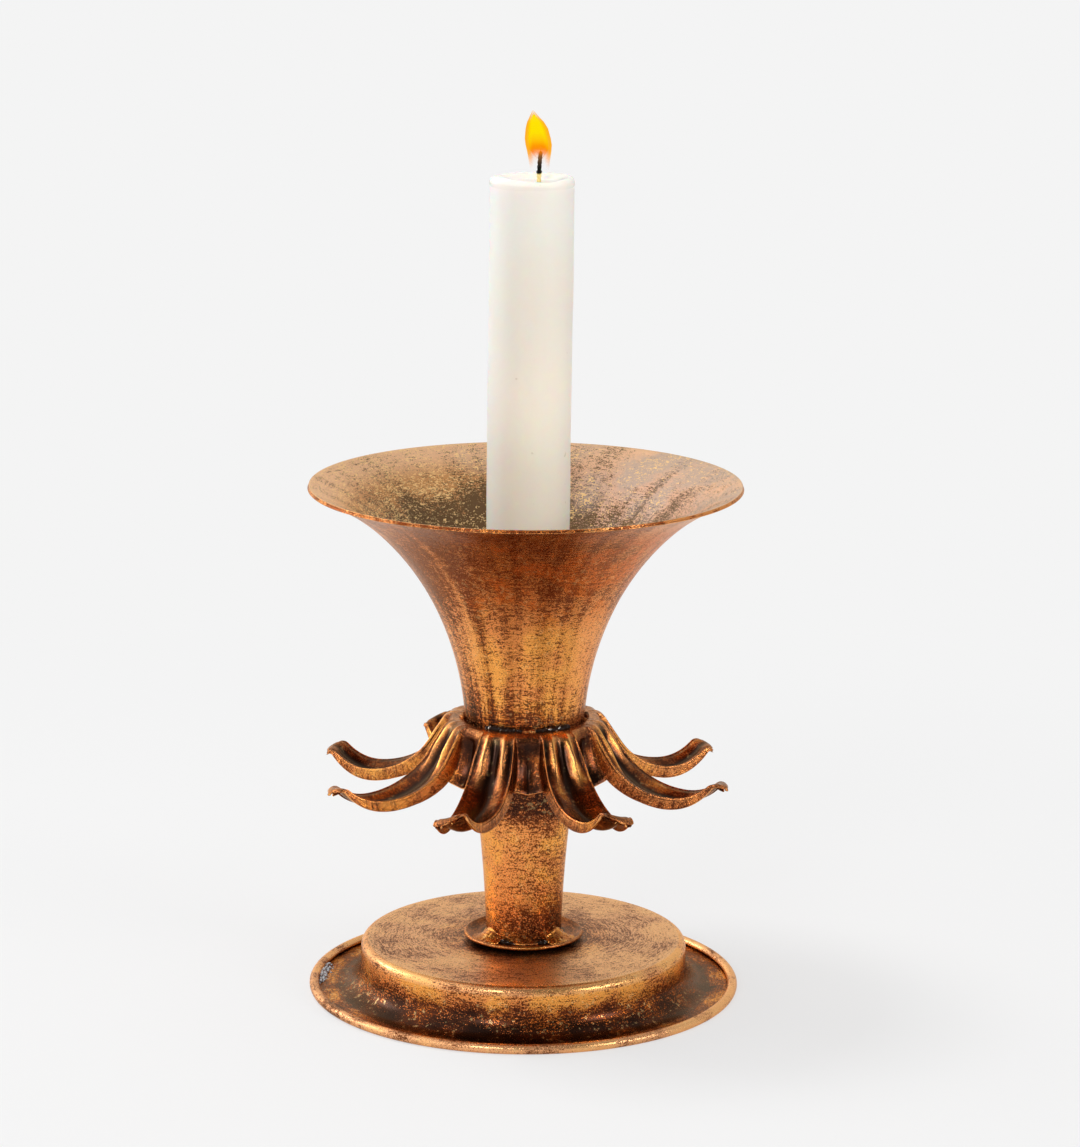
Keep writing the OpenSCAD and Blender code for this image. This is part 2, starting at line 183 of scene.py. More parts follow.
class Graph:
    """Adds nodes to one tree."""

    def __init__(self, tree):
        self.tree = tree

    def node(self, kind, inputs=None, output=0, stops=(), **options):
        """Adds a node with its options and the values or links of its sockets; gives one output."""
        node = self.tree.nodes.new(kind)
        for name, value in options.items():
            setattr(node, name, value)
        if stops:
            elements = node.color_ramp.elements
            while len(elements) < len(stops):
                elements.new(1)
            for element, (position, tint) in zip(elements, stops):
                element.position, element.color = position, (*tint, 1)
        for key, value in (inputs or {}).items():
            if isinstance(value, Wire):
                self.tree.links.new(value.socket, node.inputs[key])
            else:
                node.inputs[key].default_value = value
        return Wire(self, node.outputs[output]) if node.outputs else None

    def outputs(self, kind, inputs=None):
        """Adds a node and gives all its outputs by name."""
        made = self.node(kind, inputs).socket.node
        return {socket.name: Wire(self, socket) for socket in made.outputs if socket.name}

    def math(self, operation, *values, clamp=False):
        return self.node("ShaderNodeMath", dict(enumerate(values)), operation=operation, use_clamp=clamp)

    def vector(self, operation, first, second):
        return self.node("ShaderNodeVectorMath", {0: first, "Scale" if operation == "SCALE" else 1: second},
                         operation=operation)

    def split(self, vector):
        return self.outputs("ShaderNodeSeparateXYZ", {0: vector}).values()

    def join(self, x, y, z):
        return self.node("ShaderNodeCombineXYZ", {0: x, 1: y, 2: z})

    def place(self):
        """Object coordinates, in metres."""
        return self.node("ShaderNodeTexCoord", output="Object")

    def attribute(self, name):
        return self.node("ShaderNodeAttribute", output="Fac", attribute_name=name)

    def noise(self, vector, scale, detail=2, rough=0.5, distortion=0):
        return self.node("ShaderNodeTexNoise", {"Vector": vector, "Scale": scale, "Detail": detail,
                                                "Roughness": rough, "Distortion": distortion}, "Fac")

    def mix(self, factor, *colours):
        """Mixes two colours."""
        first, second = (c if isinstance(c, Wire) else (*c, 1) for c in colours)
        return self.node("ShaderNodeMix", {0: factor, 6: first, 7: second}, 2, data_type="RGBA")

    def shader(self, factor, first, second):
        return self.node("ShaderNodeMixShader", {0: factor, 1: first, 2: second})

    def bump(self, height, distance):
        return self.node("ShaderNodeBump", {"Height": height, "Distance": distance, "Strength": 1})


def new_material(name, **constants):
    """A material with one Principled shader, whose plain numbers are set on its own sockets."""
    material = bpy.data.materials.new(name)
    material.use_nodes = True
    sockets = material.node_tree.nodes["Principled BSDF"].inputs
    for key, value in constants.items():
        sockets[key.replace("_", " ")].default_value = value

    def feed(**wires):
        for key, wire in wires.items():
            material.node_tree.links.new(wire.socket, sockets[key.replace("_", " ")])
    return material, Graph(material.node_tree), feed


def aged_copper(name, finish, tone=0.5, rough=0, brush=0.3, grit=0.3, soft=0.16, cloud=0.12, patch=0.2,
                patch_scale=95, flecks=0.3, streaks_and_reflections=0, bumpy=1, extra=None, lining=None, calm=None):
    """Copper plating that was toned dark, rubbed back by hand and lacquered.

    tone is the share of bright copper. Brush lines and grit decide point by point which of the two colours shows,
    the more softly the higher soft is. The piece's attributes tone, matte and rub give its zones and worn edges."""
    material, g, feed = new_material(name, IOR=1.5, Specular_Tint=(0.9, 0.72, 0.56, 1), Coat_Weight=0.1,
                                     Coat_Roughness=0.2)
    place = g.place()
    x, y, z = g.split(place)
    along, zone, rub, matte = [g.attribute(word) for word in ("along", "tone", "rub", "matte")]
    broad = g.noise(place, 24, 3, 0.55)
    blotch = g.noise(place, patch_scale, 4, 0.6)
    sway = (broad - 0.5) * 0.006
    lines = g.noise(g.join(x * 210, y * 210, (along + sway) * 2900), 1, 4, 0.7)
    strokes = g.noise(g.join(x * 520, y * 520, (along + sway * 2) * 1500), 1, 3, 0.6, 0.6)
    grain = g.noise(place, 2500, 3, 0.65)
    level = tone + zone + (broad - 0.5) * cloud * 3 + (blotch - 0.5) * patch * 3
    # Soft vertical streaks round the axis: partly uneven patina, partly painted reflections
    if streaks_and_reflections:
        away = (x * x + y * y) ** 0.5 + 1e-5
        patina_and_reflection_stripe = g.noise(g.join(x / away * 9, y / away * 9, z * 7), 1)
        level = level + (patina_and_reflection_stripe - 0.5) * streaks_and_reflections * 3
    if extra:
        level = level + extra(g, x, y, z, broad)
    rub = (rub + (grain - 0.5) * rub).held()
    marks = (lines - 0.5) * brush * 3 + (strokes - 0.5) * grit * 2.2 + (grain - 0.5) * grit * 4
    if calm:
        marks = marks * (1 - calm(g, x, y))
    worn = (level - 0.5 + marks + rub * 0.7).between(-soft, soft)
    deep = g.mix(level.between(0.1, 0.6), finish.dark, finish.patina)
    clean = g.mix(level.between(0.3, 0.68), finish.body, finish.rubbed)
    clean = g.mix((broad + (blotch - 0.5) * 0.8).between(0.4, 0.58, 0.6, 0), clean, finish.rosy)
    clean = g.mix((matte * 14).held(), clean, finish.pale)
    spots = ((g.noise(place, 800) - 0.5) + (blotch - 0.5) * 0.5).between(0.12, 0.2) * flecks
    dull = 0
    if lining:
        deep, clean, spots, dull = lining(g, x, y, z, along, deep, clean, spots, blotch, broad)
    tint = g.mix(worn, deep, clean)
    tint = g.mix((rub * 0.6 + spots).held(), tint, finish.bright)
    height = worn * 0.55 + lines * (0.3 + brush) + grain * 0.9 + spots * 0.5
    roughness = finish.rough + rough + matte + (1 - worn) * 0.05 + (grain - 0.5) * 0.25 - rub * 0.06
    feed(Base_Color=tint, Roughness=roughness.math("MAXIMUM", 0.1), Metallic=(1 - dull - (1 - worn) * 0.1).held(),
         Normal=g.bump(height, 0.00009 * bumpy))
    return material


def black_flux(name):
    """Burnt glossy flux, with a few bright grains."""
    material, g, feed = new_material(name, Specular_IOR_Level=0.12)
    place = g.place()
    lumps = g.noise(place, 900, 3, 0.6)
    spark = g.noise(place, 1500, 1).between(0.66, 0.72)
    feed(Base_Color=g.mix(spark, g.mix(lumps, (0.003, 0.002, 0.002), (0.03, 0.012, 0.006)), (0.9, 0.86, 0.78)),
         Roughness=(0.1 + lumps * 0.3).held(), Metallic=spark, Normal=g.bump(lumps, 0.0002))
    return material


# Meshes

def follow(start, runs, longest=2, widest=6):
    """Points (x, y, heading, distance, run, part) of a path from a start (x, y, heading).

    A run is (turn, size): straight and size long if turn is 0, else a bend by turn degrees on a radius of size."""
    x, y, heading = start[:3]
    gone = 0
    points = [(x, y, heading, gone, 0, 0)]
    for number, (turn, size) in enumerate(runs):
        run_length = size if turn == 0 else abs(radians(turn)) * size
        steps = max(1, ceil(run_length / longest), ceil(abs(turn) / widest))
        for i in range(1, steps + 1):
            part = i / steps
            half_turn = radians(turn) * part / 2
            chord = 2 * size * abs(sin(half_turn)) if turn else size * part
            way = radians(heading) + half_turn
            points.append((x + chord * cos(way), y + chord * sin(way), heading + turn * part,
                           gone + run_length * part, number, part))
        x, y, heading, gone = points[-1][:4]
    return points


def beside(point, offset):
    """A point beside a path, to its left."""
    heading = radians(point[2])
    return point[0] - offset * sin(heading), point[1] + offset * cos(heading)


def sheet_outline(points, left, right, zone, caps=5, edge=0.75):
    """Closed outline of a sheet along a path, as rows (r, z, along, tone, rub, matte).

    zone(run, part, side, r) gives tone, rub and matte; side is 1 on the left face and 0 on the right."""
    rows = []

    def face(path, offset, side):
        for p in path:
            spot = beside(p, offset)
            rows.append((*spot, p[3], *zone(p[4], p[5], side, spot[0])))

    def cap(p, way, tone, rub):
        x, y = beside(p, (left - right) / 2)
        for k in range(1, caps):
            phi = radians(p[2]) + way - pi * k / caps
            half = (left + right) / 2
            rows.append((x + half * cos(phi), y + half * sin(phi), p[3], tone, rub, 0))
    face(points, left, 1)
    cap(points[-1], pi / 2, 0.1, edge)
    face(reversed(points), -right, 0)
    cap(points[0], -pi / 2, 0, 0.5)
    return rows


def store(mesh, **values):
    for name, numbers in values.items():
        data = mesh.attributes.new(name, "FLOAT", "POINT").data
        data.foreach_set("value", np.asarray(numbers, np.float32).ravel())


def closed_mesh(name, points, faces):
    """A mesh in metres from points in mm, its faces turned outwards and smooth."""
    mesh = bpy.data.meshes.new(name)
    mesh.from_pydata((np.asarray(points) * MM).tolist(), [], faces)
    work = bmesh.new()
    work.from_mesh(mesh)
    bmesh.ops.recalc_face_normals(work, faces=work.faces)
    for face in work.faces:
        face.smooth = True
    work.to_mesh(mesh)
    work.free()
    return mesh


def grid_faces(rows, columns, round_rows, round_columns):
    """Quads over points that are numbered row by row. A round direction closes on itself."""
    faces = []
    for i in range(rows if round_rows else rows - 1):
        a, b = i * columns, (i + 1) % rows * columns
        for j in range(columns if round_columns else columns - 1):
            k = (j + 1) % columns
            faces.append((a + j, b + j, b + k, a + k))
    return faces


def turned(name, rows, segments=240, shape=None):
    """Turns rows (r, z, along, tone, rub, matte) about +Z. Rows that start and end on the axis get poles."""
    rows = np.array(rows, float)
    poles = rows[0, 0] < 1e-6 and rows[-1, 0] < 1e-6
    ring = rows[1:-1] if poles else rows
    count = len(ring)
    around = np.linspace(0, 2 * pi, segments, endpoint=False)
    radius, way = np.meshgrid(ring[:, 0], around)
    height = np.meshgrid(ring[:, 1], around)[0]
    if shape:
        radius, height = shape(radius, height, way)
    points = np.stack([radius * np.cos(way), radius * np.sin(way), height], 2).reshape(-1, 3)
    values = np.tile(ring[:, 2:6], (segments, 1))
    faces = grid_faces(segments, count, True, not poles)
    if poles:
        first = len(points)
        for i in range(segments):
            a, b = i * count, (i + 1) % segments * count
            faces += [(first, b, a), (first + 1, a + count - 1, b + count - 1)]
        points = np.vstack([points, [[0, 0, rows[0, 1]], [0, 0, rows[-1, 1]]]])
        values = np.vstack([values, rows[[0, -1], 2:6]])
    mesh = closed_mesh(name, points, faces)
    store(mesh, along=values[:, 0] * MM, tone=values[:, 1], rub=values[:, 2], matte=values[:, 3])
    return mesh


def tube(name, rings):
    """A closed tube through rings of points, with flat ends."""
    sides, last = len(rings[0]), (len(rings) - 1) * len(rings[0])
    faces = grid_faces(len(rings), sides, False, True)
    faces += [list(range(sides))[::-1], list(range(last, last + sides))]
    return closed_mesh(name, np.reshape(rings, (-1, 3)), faces)


def thickened(name, sheet, thickness, steps=4):
    """Gives a one-sided sheet a back and a rounded cut edge. The given side stays where it is."""
    count = len(sheet.vertices)
    top = np.array([v.co for v in sheet.vertices])
    normal = np.array([v.normal for v in sheet.vertices])
    faces = [tuple(p.vertices) for p in sheet.polygons]
    edges = {edge for face in faces for edge in zip(face, face[1:] + face[:1])}
    border = sorted(edge for edge in edges if edge[::-1] not in edges)
    out = np.zeros((count, 3))
    for edge in border:
        way = top[edge[1]] - top[edge[0]]
        for v in edge:
            out[v] += np.cross(way / np.linalg.norm(way), normal[v])
    rim = sorted({v for edge in border for v in edge})
    place = {v: n for n, v in enumerate(rim)}
    out = out[rim] / np.linalg.norm(out[rim], axis=1)[:, None]
    points = [top, top - normal * thickness]
    for k in range(1, steps):
        phi = pi * k / steps
        middle = top[rim] - normal[rim] * thickness / 2
        points.append(middle + thickness / 2 * (cos(phi) * normal[rim] + 0.5 * sin(phi) * out))

    def at(v, k):
        if k in (0, steps):
            return v + (count if k else 0)
        return 2 * count + (k - 1) * len(rim) + place[v]
    everything = faces + [tuple(count + v for v in reversed(face)) for face in faces]
    everything += [(at(b, k), at(a, k), at(a, k + 1), at(b, k + 1)) for a, b in border for k in range(steps)]
    mesh = closed_mesh(name, np.vstack(points) / MM, everything)
    values = {}
    for word in ("along", "tone", "rub", "matte", "calm"):
        old = np.array([item.value for item in sheet.attributes[word].data])
        values[word] = np.concatenate([old, old] + [old[rim]] * (steps - 1))
    back, cut = slice(count, 2 * count), slice(2 * count, None)
    values["tone"][back], values["rub"][back] = -0.18, 0
    values["tone"][cut], values["rub"][cut] = 0.12, 0.35
    values["calm"][count:] = 0.3
    store(mesh, **values)
    return mesh


def add_object(name, data):
    made = bpy.data.objects.new(name, data)
    bpy.context.scene.collection.objects.link(made)
    return made


def piece(name, mesh, material, *nodes, body="holder", slot="aged_copper"):
    """Puts a finished mesh in the scene as a piece that rides on a body and stands for CAD nodes."""
    mesh.name = name
    mesh.materials.clear()
    mesh.materials.append(material)
    made = add_object(name, mesh)
    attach(made, body)
    if nodes:
        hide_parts(*nodes)


def repaint(node, material):
    """Gives a CAD node that stays in sight a better material."""
    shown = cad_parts[node]
    if not shown.material_slots:
        shown.data.materials.append(material)
    for slot in shown.material_slots:
        slot.material = material


# Geometry Nodes

def new_tree(name, **inputs):
    """A Geometry Nodes tree with a geometry input and the named inputs, as (tree, graph, wires by name)."""
    tree = bpy.data.node_groups.new(name, "GeometryNodeTree")
    for word, kind in {"Geometry": "Geometry", **inputs}.items():
        tree.interface.new_socket(word, in_out="INPUT", socket_type="NodeSocket" + kind)
    tree.interface.new_socket("Geometry", in_out="OUTPUT", socket_type="NodeSocketGeometry")
    g = Graph(tree)
    return tree, g, g.outputs("NodeGroupInput")


def end_tree(g, geometry, material):
    geometry = g.node("GeometryNodeSetShadeSmooth", {"Geometry": geometry})
    geometry = g.node("GeometryNodeSetMaterial", {"Geometry": geometry, "Material": material})
    g.node("NodeGroupOutput", {0: geometry})


def grown(name, guide, tree, **values):
    """Runs a tree on a guide mesh and gives the result as a plain mesh."""
    holder = add_object(name, guide)
    modifier = holder.modifiers.new("Build", "NODES")
    modifier.node_group = tree
    for item in tree.interface.items_tree:
        if item.in_out == "INPUT" and item.name in values:
            modifier[item.identifier] = values[item.name]
    evaluated = holder.evaluated_get(bpy.context.evaluated_depsgraph_get())
    mesh = bpy.data.meshes.new_from_object(evaluated)
    bpy.data.objects.remove(holder)
    if not mesh.polygons:
        raise RuntimeError(f"{name}: the tree gave no faces")
    return mesh


def ring_tree():
    """Repeats one sector round the axis, joins the sectors and bends the loose ends a little."""
    tree, g, given = new_tree("sectors_round_a_ring", Count="Int", Turn="Float", Bend="Float", Lean="Float",
                              Seed="Int", Material="Material")
    step = 2 * pi / given["Count"]
    turn = (g.node("GeometryNodeInputIndex") + 0.5) * step + given["Turn"]
    spread = g.node("GeometryNodeInstanceOnPoints", {
        "Points": g.node("GeometryNodePoints", {"Count": given["Count"]}), "Instance": given["Geometry"],
        "Rotation": g.join(0, 0, turn)})
    whole = g.node("GeometryNodeRealizeInstances", {0: spread})
    whole = g.node("GeometryNodeMergeByDistance", {"Geometry": whole, "Distance": 0.00002})
    place = g.node("GeometryNodeInputPosition")
    loose = g.node("GeometryNodeInputNamedAttribute", {"Name": "loose"}, data_type="FLOAT")
    wander = g.node("ShaderNodeTexNoise", {"Vector": place, "W": given["Seed"], "Scale": 38, "Detail": 0},
                    "Color", noise_dimensions="4D")
    offset = g.vector("SCALE", g.vector("SUBTRACT", wander, (0.5, 0.5, 0.5)), loose * given["Bend"] * 4)
    x, y, z = g.split(place)
    petal = ((g.math("ARCTAN2", y, x) - given["Turn"]) / step).math("FLOOR")
    middle = (petal + 0.5) * step + given["Turn"]
    outward = x.math("ABSOLUTE") - (x * x + y * y) ** 0.5 * middle.math("COSINE").math("ABSOLUTE")
    aside = x.math("SIGN") * middle.math("SINE") ** 2 * (loose ** 4) * 0.0014
    droop = g.join(aside, 0, outward * (loose ** 5) * given["Lean"] * -1)
    whole = g.node("GeometryNodeSetPosition", {"Geometry": whole, "Offset": g.vector("ADD", offset, droop)})
    end_tree(g, whole, given["Material"])
    return tree


def lumps_tree():
    """Sets a ball on every point of a guide, as large as its size says, and melts the balls into one skin."""
    tree, g, given = new_tree("melted_lumps", Voxel="Float", Shift="Float", Seed="Int", Material="Material")
    shift = g.node("FunctionNodeRandomValue", {0: (-1, -1, -1), 1: (1, 1, 1), "Seed": given["Seed"]},
                   data_type="FLOAT_VECTOR")
    points = g.node("GeometryNodeSetPosition", {
        "Geometry": given["Geometry"], "Offset": g.vector("SCALE", shift, given["Shift"])})
    size = g.node("GeometryNodeInputNamedAttribute", {"Name": "size"}, data_type="FLOAT")
    lumps = g.node("GeometryNodeInstanceOnPoints", {
        "Points": points, "Instance": g.node("GeometryNodeMeshIcoSphere", {"Radius": 1, "Subdivisions": 3}),
        "Scale": g.join(size, size, size)})
    lumps = g.node("GeometryNodeRealizeInstances", {0: lumps})
    solid = g.node("GeometryNodeMeshToVolume", {
        "Mesh": lumps, "Voxel Size": given["Voxel"], "Density": 1, "Interior Band Width": 0.0008},
        resolution_mode="VOXEL_SIZE")
    skin = g.node("GeometryNodeVolumeToMesh", {"Volume": solid, "Voxel Size": given["Voxel"], "Threshold": 0.2},
                  resolution_mode="VOXEL_SIZE")
    soft = g.node("GeometryNodeBlurAttribute", {"Value": g.node("GeometryNodeInputPosition"), "Iterations": 5},
                  data_type="FLOAT_VECTOR")
    end_tree(g, g.node("GeometryNodeSetPosition", {"Geometry": skin, "Position": soft}), given["Material"])
    return tree


def melted(name, balls, material, *nodes, slot="dark_copper", voxel=0.12, shift=0.15, seed=3):
    """Melts balls (direction in degrees, radius, height, size) into one piece of the holder."""
    guide = bpy.data.meshes.new(name)
    guide.from_pydata([(r * cos(radians(a)) * MM, r * sin(radians(a)) * MM, z * MM) for a, r, z, ball in balls],
                      [], [])
    store(guide, size=[ball[3] * MM for ball in balls])
    tree = bpy.data.node_groups.get("melted_lumps") or lumps_tree()
    mesh = grown(name, guide, tree, Voxel=voxel * MM, Shift=shift * MM, Seed=seed, Material=material)
    piece(name, mesh, material, *nodes, slot=slot)


# Pan

def make_pan(size, finish):
    edge_r = size.plateau_edge - size.sheet / 2
    fillet_r = size.saucer_fillet + size.sheet / 2
    points = follow((SCREW_HOLE_R, size.plateau_z - size.sheet / 2, 0), [
        (0, size.plateau_r - size.plateau_edge - SCREW_HOLE_R),
        (-90, edge_r),
        (0, size.plateau_z - size.sheet - edge_r - fillet_r),
        (90, fillet_r),
        (0, size.pan_r - size.bead_d / 2 - size.plateau_r - size.saucer_fillet),
        (262, (size.bead_d - size.sheet) / 2)], longest=1.6, widest=9)

    def zone(run, part, side, r):
        if not side:
            return (0.06, 0.04 * sin(pi * part), 0.03) if run == 5 else (-0.2, 0, 0.1)
        near = held(1 - (r - 15) / 11)
        return ((0.06 - 0.22 * near, 0.25 * max(0, (r - 39.5) / 2.2), 0.045 - 0.035 * near),
                (0.12, 0.25 * sin(pi * min(1, part + 0.2)), 0.02),
                # the wall darkens over its lower part: painted shade above the fillet
                (0.16 - 0.42 * max(0, part - 0.3), 0, -0.02),
                (-0.2 - 0.11 * min(1, part * 2.2), 0, -0.04),
                (-0.1, 0, 0),
                (-0.35, 0, 0.1))[run]

    def nick_painted_shade(g, x, y, z, broad):
        """A small dark crescent on the saucer's right: painted shade in a nick."""
        right, back = x - 0.0498, y + 0.003
        away = (right * right + back * back).math("SQRT")
        return (away.between(0.0008, 0.0012) * away.between(0.0019, 0.0023, 1, 0)
                * back.between(-0.0003, 0.0003, 1, 0) * -1)

    def calm(g, x, y):
        """The saucer is less scratched than the plateau, and the rolled rim least."""
        square = x * x + y * y
        return square.between(0.00202, 0.00222, 0, 0.35) + square.between(0.00295, 0.00305, 0, 0.25)
    metal = aged_copper("pan_copper", finish, tone=0.55, brush=0.36, grit=0.5, soft=0.11, cloud=0.14, patch=0.28,
                        bumpy=0.6, extra=nick_painted_shade, calm=calm)
    mesh = turned("pan_metal", sheet_outline(points, size.sheet / 2, size.sheet / 2, zone))
    piece("pan_metal", mesh, metal, "base_pan")

    corner_r, floor_z = size.pan_r - size.bead_d - 0.1, size.sheet
    balls = [(165 + 1.5 * i, corner_r - 0.35 * (i % 2), floor_z + 0.15 + 0.12 * (i % 3), 0.78 - 0.02 * abs(i - 6))
             for i in range(13)]
    balls += [(166 + 1.25 * i, corner_r - 0.9 - 0.2 * (i % 3), floor_z, 0.72 - 0.03 * abs(i - 6))
              for i in range(13)]
    balls += [(167 + 11 * i / 6, corner_r - 1.8 - 0.4 * (i % 2), floor_z - 0.1, 0.5) for i in range(7)]
    solder, g, feed = new_material("solder_patch", Metallic=0.25)
    flake, fine = g.noise(g.place(), 700, 3, 0.6), g.noise(g.place(), 2600)
    feed(Base_Color=g.mix(flake.between(0.34, 0.44), finish.patina, finish.solder),
         Roughness=(0.75 - fine * 0.4).held(), Normal=g.bump(flake + fine * 0.4, 0.0002))
    melted("solder_patch", balls, solder, "rim_solder", slot="solder", shift=0.2)


# Foot

def make_foot(size, finish):
    flat_r, dish_turn, dish_bend = 12.6, 30, 4
    lean = radians(dish_turn)
    edge = (size.washer_r - flat_r - (dish_bend + size.washer_t / 2) * sin(lean)) / cos(lean)
    points = follow((SCREW_HOLE_R, size.plateau_z + size.washer_t / 2, 0), [
        (0, flat_r - SCREW_HOLE_R), (dish_turn, dish_bend), (0, edge)], longest=0.8, widest=5)

    def zone(run, part, side, r):
        return ((0.02 if r > 11.5 else -0.2), 0.1 * max(0, r - 15.2), 0) if side else (-0.3, 0, 0)
    mesh = turned("washer_metal", sheet_outline(points, size.washer_t / 2, size.washer_t / 2, zone, edge=0.1))
    metal = aged_copper("washer_copper", finish, tone=0.38, rough=0.02, brush=0.1, soft=0.3, flecks=0.15, bumpy=0.5)
    piece("washer_metal", mesh, metal, "foot_washer", slot="dark_copper")

    top, foot_r = size.plateau_z + size.washer_t, size.stem_foot_r
    balls = []
    for middle, span, reach in ((215, 38, 1.1), (325, 38, 1.1), (90, 34, 0.6)):
        for side in np.linspace(-1, 1, 15):
            fat = 1 - 0.75 * side * side
            balls += [(middle + span / 2 * side, foot_r + 0.2 + 4.2 * t * reach * (0.6 + 0.4 * fat),
                       top - 0.1 + 2.6 * fat * (1 - t) ** 1.6 * reach + 0.45 * t, 0.85 * (0.7 + 0.3 * fat))
                      for t in np.linspace(0, 1, 6)]
    balls += [(a, foot_r + 0.35, top + 0.05, 0.55 + 0.1 * sin(a * 0.7)) for a in range(0, 360, 3)]
    weld = aged_copper("weld_copper", finish, tone=0.58, rough=-0.12, brush=0, grit=0.1, soft=0.3, patch=0.3,
                       patch_scale=300, flecks=0.5)
    melted("weld_beads", balls, weld, "foot_weld", voxel=0.15, shift=0.12)
    balls = [(middle + 1.9 * i, foot_r + 0.6, top + 0.2 + 0.1 * (i % 2), 0.95 - 0.075 * abs(i))
             for middle in (241, 302) for i in range(-8, 9)]
    melted("foot_flux", balls, black_flux("foot_flux"), seed=6)

    steel, g, feed = new_material("zinc_plated_steel", Metallic=0.9)
    x, y, z = g.split(g.place())
    marks, dull = g.noise(g.join(x * 300, y * 300, z * 4000), 1, 3), g.noise(g.place(), 500, 3)
    feed(Base_Color=g.mix(dull.between(0.4, 0.7), finish.steel, (0.2, 0.19, 0.16)),
         Roughness=(0.3 + dull * 0.35).held(), Normal=g.bump(marks + dull * 0.5, 0.00005))
    for node in ("foot_nut", "base_screw", "screw_washer"):
        repaint(node, steel)


# Stem

class Wall:
    """The wall line that the stem and the cup's throat share."""
    foot_lean, bend, lean_mid, throat_bend, throat_lean = 1.6, 400, 5.4, 2190, 6.4

    def __init__(self, size):
        self.start = (size.stem_foot_r, size.plateau_z + size.washer_t, 90 - self.foot_lean)
        self.low_run = (self.foot_lean - self.lean_mid, self.bend)
        self.low = follow(self.start, [self.low_run])[-1]

    def up_to(self, z):
        """The run on the upper bend that reaches a height."""
        rise = (z - self.low[1]) / self.throat_bend + sin(radians(self.lean_mid))
        return self.lean_mid - degrees(asin(rise)), self.throat_bend


def make_stem(size, finish):
    wall = Wall(size)
    points = follow(wall.start, [wall.low_run, wall.up_to(size.stem_top_z)], longest=1.2)

    def zone(run, part, side, r):
        return (-0.2, 0, 0.1) if side else (0, 0, 0)

    def foot_tone_and_painted_shading(g, x, y, z, broad):
        """Smoother and browner at the foot. Painted shade under the collar; painted light left, painted shade right."""
        # Painted shade under the collar, painted light on the left side and painted shade on the right
        return (z.between(0.018, 0.031, -0.3, 0) + z.between(0.045, 0.053, 0, -0.4)
                + x.between(-0.009, 0.009, 0.08, -0.1))
    metal = aged_copper("stem_copper", finish, tone=0.7, brush=0.08, grit=0.66, soft=0.13, patch=0.16,
                        patch_scale=130, flecks=0.2, extra=foot_tone_and_painted_shading)
    mesh = turned("stem_metal", sheet_outline(points, size.stem_sheet, 0, zone))
    piece("stem_metal", mesh, metal, "stem_tube")
    repaint("candle_seat", aged_copper("seat_copper", finish, tone=0.3, brush=0.1, flecks=0.1))


# Cup

